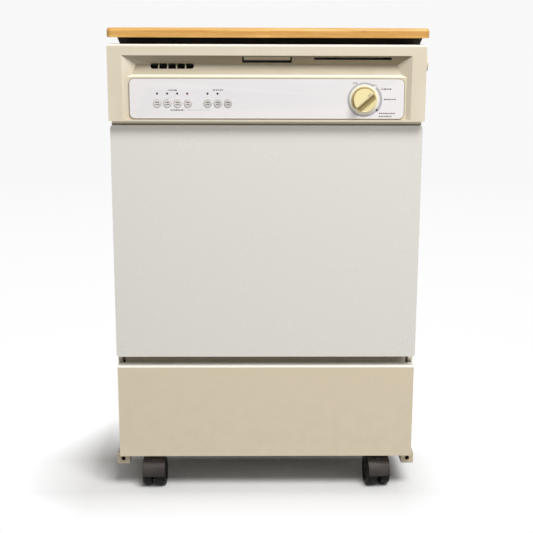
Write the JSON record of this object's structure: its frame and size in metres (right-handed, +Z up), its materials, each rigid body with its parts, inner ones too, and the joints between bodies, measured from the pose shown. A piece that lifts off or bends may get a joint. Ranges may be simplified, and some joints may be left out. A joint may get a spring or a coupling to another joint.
{
  "type": "portable dishwasher",
  "caption": "Portable front-loading dishwasher on castors: wooden top, moulded console with knob, latch and buttons, drop-down door, sliding racks, spray arms and hose bay.",
  "frame": {"origin": "on the floor, under the middle of the machine's overall box", "axes": "+Z up, -Y is the front with the door and controls, +X is the right side as seen from the front"},
  "size_m": [0.6108, 0.682, 0.9325],
  "materials": {
    "wood": "oiled maple strips",
    "almond_plastic": "satin",
    "almond_steel": "satin enamel",
    "white_steel": "gloss enamel",
    "white_plastic": "satin",
    "cream_plastic": "gloss",
    "black_plastic": "matte",
    "castor_plastic": "matte",
    "frame_steel": "satin enamel",
    "motor_paint": "satin",
    "tub_plastic": "satin",
    "rack_coating": "coated wire",
    "grey_plastic": "satin",
    "gasket_rubber": "matte",
    "bright_steel": "bright"
  },
  "bodies": {
    "chassis": {"wood_top": "wood", "top_frame": "black_plastic", "back_panel": "almond_steel", "cord_gland": "black_plastic", "hose_ports": "grey_plastic", "kick_plate": "almond_steel", "base_frame": "frame_steel", "tub": "tub_plastic", "tub_gasket": "gasket_rubber", "sump": "grey_plastic", "pump_motor": "motor_paint", "heater_element": "bright_steel", "feed_tube": "grey_plastic", "inlet_valve": "white_plastic", "latch_strike": "bright_steel", "side_panel_left": "almond_steel", "side_panel_right": "almond_steel", "door_spring_left": "bright_steel", "door_spring_right": "bright_steel"},
    "door": {"door_panel": "white_steel", "door_liner": "tub_plastic", "console": "almond_plastic", "control_insert": "white_plastic", "vent_duct": "black_plastic", "timer_body": "white_plastic", "control_board": "grey_plastic", "dispenser": "grey_plastic", "hinge_arm_left": "bright_steel", "hinge_arm_right": "bright_steel"},
    "latch_handle": {"latch_handle": "almond_plastic"},
    "timer_knob": {"timer_knob": "cream_plastic"},
    "detergent_cover": {"detergent_cover": "grey_plastic"},
    "rinse_cap": {"rinse_cap": "white_plastic"},
    "float_dome": {"float_dome": "white_plastic"},
    "lower_rack": {"lower_rack": "rack_coating"},
    "upper_rack": {"upper_rack": "rack_coating"},
    "silverware_basket": {"silverware_basket": "grey_plastic"},
    "lower_spray_arm": {"lower_spray_arm": "grey_plastic"},
    "upper_spray_arm": {"upper_spray_arm": "grey_plastic"},
    "slide_rail_left": {"slide_rail_left": "bright_steel"},
    "slide_rail_right": {"slide_rail_right": "bright_steel"},
    "cycle_button_1": {"cycle_button_1": "white_plastic"},
    "cycle_button_2": {"cycle_button_2": "white_plastic"},
    "cycle_button_3": {"cycle_button_3": "white_plastic"},
    "cycle_button_4": {"cycle_button_4": "white_plastic"},
    "option_button_1": {"option_button_1": "white_plastic"},
    "option_button_2": {"option_button_2": "white_plastic"},
    "option_button_3": {"option_button_3": "white_plastic"},
    "castor_hood_front_left": {"castor_hood_front_left": "castor_plastic"},
    "castor_wheel_front_left": {"castor_wheel_front_left": "castor_plastic"},
    "castor_hood_front_right": {"castor_hood_front_right": "castor_plastic"},
    "castor_wheel_front_right": {"castor_wheel_front_right": "castor_plastic"},
    "castor_hood_rear_left": {"castor_hood_rear_left": "castor_plastic"},
    "castor_wheel_rear_left": {"castor_wheel_rear_left": "castor_plastic"},
    "castor_hood_rear_right": {"castor_hood_rear_right": "castor_plastic"},
    "castor_wheel_rear_right": {"castor_wheel_rear_right": "castor_plastic"},
    "rack_wheel_front_left": {"rack_wheel_front_left": "grey_plastic"},
    "rack_wheel_front_right": {"rack_wheel_front_right": "grey_plastic"},
    "rack_wheel_rear_left": {"rack_wheel_rear_left": "grey_plastic"},
    "rack_wheel_rear_right": {"rack_wheel_rear_right": "grey_plastic"}
  },
  "joints": [
    {"name": "door_hinge", "type": "hinge", "parent": "chassis", "child": "door", "pos_m": [0, -0.269, 0.313], "axis": [1, 0, 0], "range_deg": [0, 90], "stiffness_Nm_per_rad": 12, "deforming": ["door_spring_left", "door_spring_right"]},
    {"name": "latch_pivot", "type": "hinge", "parent": "door", "child": "latch_handle", "pos_m": [0, -0.29, 0.8747], "axis": [-1, 0, 0], "range_deg": [0, 12], "stiffness_Nm_per_rad": 0.8},
    {"name": "timer_turn", "type": "hinge", "parent": "door", "child": "timer_knob", "pos_m": [0.183, -0.325, 0.8013], "axis": [0, 1, 0], "continuous": true},
    {"name": "cycle_button_1_press", "type": "slide", "parent": "door", "child": "cycle_button_1", "axis": [0, 1, 0], "range_m": [0, 0.0012], "stiffness_N_per_m": 400},
    {"name": "cycle_button_2_press", "type": "slide", "parent": "door", "child": "cycle_button_2", "axis": [0, 1, 0], "range_m": [0, 0.0012], "stiffness_N_per_m": 400},
    {"name": "cycle_button_3_press", "type": "slide", "parent": "door", "child": "cycle_button_3", "axis": [0, 1, 0], "range_m": [0, 0.0012], "stiffness_N_per_m": 400},
    {"name": "cycle_button_4_press", "type": "slide", "parent": "door", "child": "cycle_button_4", "axis": [0, 1, 0], "range_m": [0, 0.0012], "stiffness_N_per_m": 400},
    {"name": "option_button_1_press", "type": "slide", "parent": "door", "child": "option_button_1", "axis": [0, 1, 0], "range_m": [0, 0.0012], "stiffness_N_per_m": 400},
    {"name": "option_button_2_press", "type": "slide", "parent": "door", "child": "option_button_2", "axis": [0, 1, 0], "range_m": [0, 0.0012], "stiffness_N_per_m": 400},
    {"name": "option_button_3_press", "type": "slide", "parent": "door", "child": "option_button_3", "axis": [0, 1, 0], "range_m": [0, 0.0012], "stiffness_N_per_m": 400},
    {"name": "detergent_cover_hinge", "type": "hinge", "parent": "door", "child": "detergent_cover", "pos_m": [-0.032, -0.2427, 0.514], "axis": [-1, 0, 0], "range_deg": [0, 100]},
    {"name": "rinse_cap_turn", "type": "hinge", "parent": "door", "child": "rinse_cap", "pos_m": [0.046, -0.2457, 0.554], "axis": [0, 1, 0], "range_deg": [0, 90]},
    {"name": "float_rise", "type": "slide", "parent": "chassis", "child": "float_dome", "axis": [0, 0, 1], "range_m": [0, 0.01]},
    {"name": "lower_rack_roll", "type": "slide", "parent": "chassis", "child": "lower_rack", "axis": [0, -1, 0], "range_m": [0, 0.1257]},
    {"name": "upper_rack_slide", "type": "slide", "parent": "chassis", "child": "upper_rack", "axis": [0, -1, 0], "range_m": [0, 0.4001]},
    {"name": "slide_rail_left_slide", "type": "slide", "parent": "chassis", "child": "slide_rail_left", "axis": [0, -1, 0], "range_m": [0, 0.2001]},
    {"name": "slide_rail_right_slide", "type": "slide", "parent": "chassis", "child": "slide_rail_right", "axis": [0, -1, 0], "range_m": [0, 0.2001]},
    {"name": "rack_wheel_front_left_roll", "type": "hinge", "parent": "lower_rack", "child": "rack_wheel_front_left", "pos_m": [-0.2579, -0.095, 0.35195], "axis": [1, 0, 0], "continuous": true},
    {"name": "rack_wheel_rear_left_roll", "type": "hinge", "parent": "lower_rack", "child": "rack_wheel_rear_left", "pos_m": [-0.2579, 0.189, 0.35195], "axis": [1, 0, 0], "continuous": true},
    {"name": "rack_wheel_front_right_roll", "type": "hinge", "parent": "lower_rack", "child": "rack_wheel_front_right", "pos_m": [0.2579, -0.095, 0.35195], "axis": [1, 0, 0], "continuous": true},
    {"name": "rack_wheel_rear_right_roll", "type": "hinge", "parent": "lower_rack", "child": "rack_wheel_rear_right", "pos_m": [0.2579, 0.189, 0.35195], "axis": [1, 0, 0], "continuous": true},
    {"name": "silverware_basket_lift", "type": "slide", "parent": "lower_rack", "child": "silverware_basket", "axis": [0, 0, 1], "range_m": [0, 0.06]},
    {"name": "lower_spray_arm_spin", "type": "hinge", "parent": "chassis", "child": "lower_spray_arm", "pos_m": [0, 0.01, 0.316], "axis": [0, 0, 1], "continuous": true},
    {"name": "upper_spray_arm_spin", "type": "hinge", "parent": "upper_rack", "child": "upper_spray_arm", "pos_m": [0, 0.01, 0.638], "axis": [0, 0, 1], "continuous": true},
    {"name": "castor_swivel_front_left", "type": "hinge", "parent": "chassis", "child": "castor_hood_front_left", "pos_m": [-0.23, -0.251, 0.08], "axis": [0, 0, 1], "continuous": true},
    {"name": "castor_roll_front_left", "type": "hinge", "parent": "castor_hood_front_left", "child": "castor_wheel_front_left", "pos_m": [-0.23, -0.264, 0.03], "axis": [1, 0, 0], "continuous": true},
    {"name": "castor_swivel_front_right", "type": "hinge", "parent": "chassis", "child": "castor_hood_front_right", "pos_m": [0.23, -0.251, 0.08], "axis": [0, 0, 1], "continuous": true},
    {"name": "castor_roll_front_right", "type": "hinge", "parent": "castor_hood_front_right", "child": "castor_wheel_front_right", "pos_m": [0.23158, -0.2639, 0.03], "axis": [0.9925, 0.1219, 0], "continuous": true},
    {"name": "castor_swivel_rear_left", "type": "hinge", "parent": "chassis", "child": "castor_hood_rear_left", "pos_m": [-0.23, 0.289, 0.08], "axis": [0, 0, 1], "continuous": true},
    {"name": "castor_roll_rear_left", "type": "hinge", "parent": "castor_hood_rear_left", "child": "castor_wheel_rear_left", "pos_m": [-0.22471, 0.27712, 0.03], "axis": [0.9135, 0.4067, 0], "continuous": true},
    {"name": "castor_swivel_rear_right", "type": "hinge", "parent": "chassis", "child": "castor_hood_rear_right", "pos_m": [0.23, 0.289, 0.08], "axis": [0, 0, 1], "continuous": true},
    {"name": "castor_roll_rear_right", "type": "hinge", "parent": "castor_hood_rear_right", "child": "castor_wheel_rear_right", "pos_m": [0.22797, 0.27616, 0.03], "axis": [0.9877, -0.1564, 0], "continuous": true}
  ],
  "couplings": [
    {"joint": "lower_rack_roll", "follows": "door_hinge", "m_per_rad": 0.08},
    {"joint": "upper_rack_slide", "follows": "door_hinge", "m_per_rad": 0.2546},
    {"joint": "slide_rail_left_slide", "follows": "door_hinge", "m_per_rad": 0.1273},
    {"joint": "slide_rail_right_slide", "follows": "door_hinge", "m_per_rad": 0.1273},
    {"joint": "rack_wheel_front_left_roll", "follows": "door_hinge", "ratio": 4.4444},
    {"joint": "rack_wheel_rear_left_roll", "follows": "door_hinge", "ratio": 4.4444},
    {"joint": "rack_wheel_front_right_roll", "follows": "door_hinge", "ratio": 4.4444},
    {"joint": "rack_wheel_rear_right_roll", "follows": "door_hinge", "ratio": 4.4444}
  ]
}
